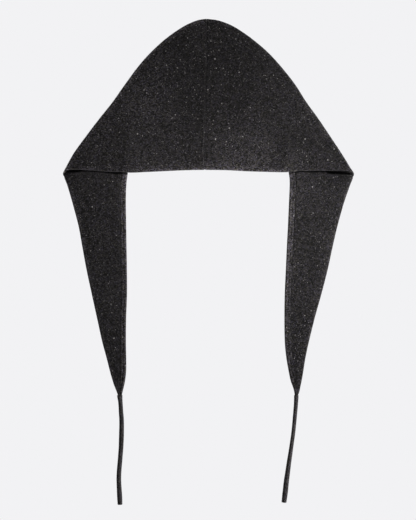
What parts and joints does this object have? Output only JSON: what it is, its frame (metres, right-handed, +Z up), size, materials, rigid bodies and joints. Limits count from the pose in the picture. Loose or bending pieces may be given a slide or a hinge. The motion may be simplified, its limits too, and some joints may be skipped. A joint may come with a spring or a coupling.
{
  "type": "hooded scarf",
  "caption": "Knitted hood lying folded flat, with a rounded point, an open face side and long tapering tails that end in thin round ties.",
  "frame": {"origin": "on the table under the middle of the knitted body, halfway between the hood's point and the tips of the tails, ties left aside", "axes": "+Z up from the table, +Y along the scarf towards the hood's point, +X to the right with the back of the hood facing up"},
  "size_m": [0.4348, 0.7274, 0.0126],
  "materials": {
    "plain_knit": "matte charcoal wool knit with pale flecks",
    "rib_knit": "matte charcoal ribbed edge with pale flecks",
    "cord_knit": "matte charcoal knitted cord"
  },
  "bodies": {
    "root": {"left_panel": "plain_knit", "right_panel": "plain_knit", "face_band": "rib_knit", "left_tie": "cord_knit", "right_tie": "cord_knit"}
  },
  "joints": []
}
